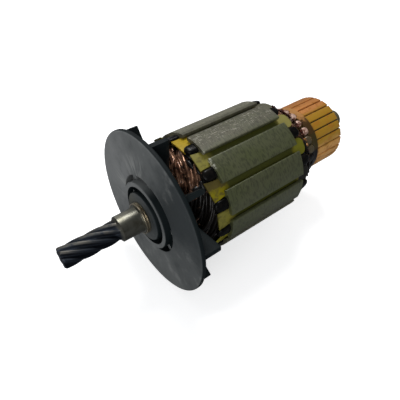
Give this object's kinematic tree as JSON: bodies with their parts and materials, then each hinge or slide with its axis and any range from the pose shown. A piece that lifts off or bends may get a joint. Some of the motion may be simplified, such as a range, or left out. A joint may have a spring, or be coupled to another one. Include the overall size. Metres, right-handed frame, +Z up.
{
  "type": "motor armature",
  "caption": "Wound armature of a small commutator motor, with a cut helical pinion, a radial fan, a slotted laminated core, coils and a copper commutator on one shaft.",
  "frame": {"origin": "middle of the front bearing journal, on the shaft's axis", "axes": "+X along the shaft, from the pinion towards the commutator; +Z up; the part turns about X"},
  "size_m": [0.1142, 0.0528, 0.0528],
  "materials": {
    "shaft_steel": "ground journals, dark oiled teeth",
    "ring_steel": "turned",
    "fan_plastic": "moulded, slightly dusty",
    "varnished_laminations": "varnished steel sheets with scratches",
    "insulator_plastic": "black, varnished",
    "slot_paper": "varnished insulating paper",
    "wedge_fibre": "varnished fibre strip",
    "magnet_wire": "enamelled copper wire under varnish",
    "resin": "dark drip resin",
    "commutator_copper": "turned copper with varnish stains",
    "hub_plastic": "moulded",
    "bush_steel": "turned"
  },
  "bodies": {
    "root": {"shaft": "shaft_steel", "thrust_ring": "ring_steel", "fan": "fan_plastic", "lamination_stack": "varnished_laminations", "front_insulator": "insulator_plastic", "rear_insulator": "insulator_plastic", "coil_leads": "magnet_wire", "resin_band": "resin", "commutator_bars": "commutator_copper", "commutator_hub": "hub_plastic", "commutator_bush": "bush_steel", "slot_liner_01": "slot_paper", "slot_liner_02": "slot_paper", "slot_liner_03": "slot_paper", "slot_liner_04": "slot_paper", "slot_liner_05": "slot_paper", "slot_liner_06": "slot_paper", "slot_liner_07": "slot_paper", "slot_liner_08": "slot_paper", "slot_liner_09": "slot_paper", "slot_liner_10": "slot_paper", "slot_liner_11": "slot_paper", "slot_liner_12": "slot_paper", "slot_wedge_01": "wedge_fibre", "slot_wedge_02": "wedge_fibre", "slot_wedge_03": "wedge_fibre", "slot_wedge_04": "wedge_fibre", "slot_wedge_05": "wedge_fibre", "slot_wedge_06": "wedge_fibre", "slot_wedge_07": "wedge_fibre", "slot_wedge_08": "wedge_fibre", "slot_wedge_09": "wedge_fibre", "slot_wedge_10": "wedge_fibre", "slot_wedge_11": "wedge_fibre", "slot_wedge_12": "wedge_fibre", "coil_01": "magnet_wire", "coil_02": "magnet_wire", "coil_03": "magnet_wire", "coil_04": "magnet_wire", "coil_05": "magnet_wire", "coil_06": "magnet_wire", "coil_07": "magnet_wire", "coil_08": "magnet_wire", "coil_09": "magnet_wire", "coil_10": "magnet_wire", "coil_11": "magnet_wire", "coil_12": "magnet_wire"}
  },
  "joints": []
}
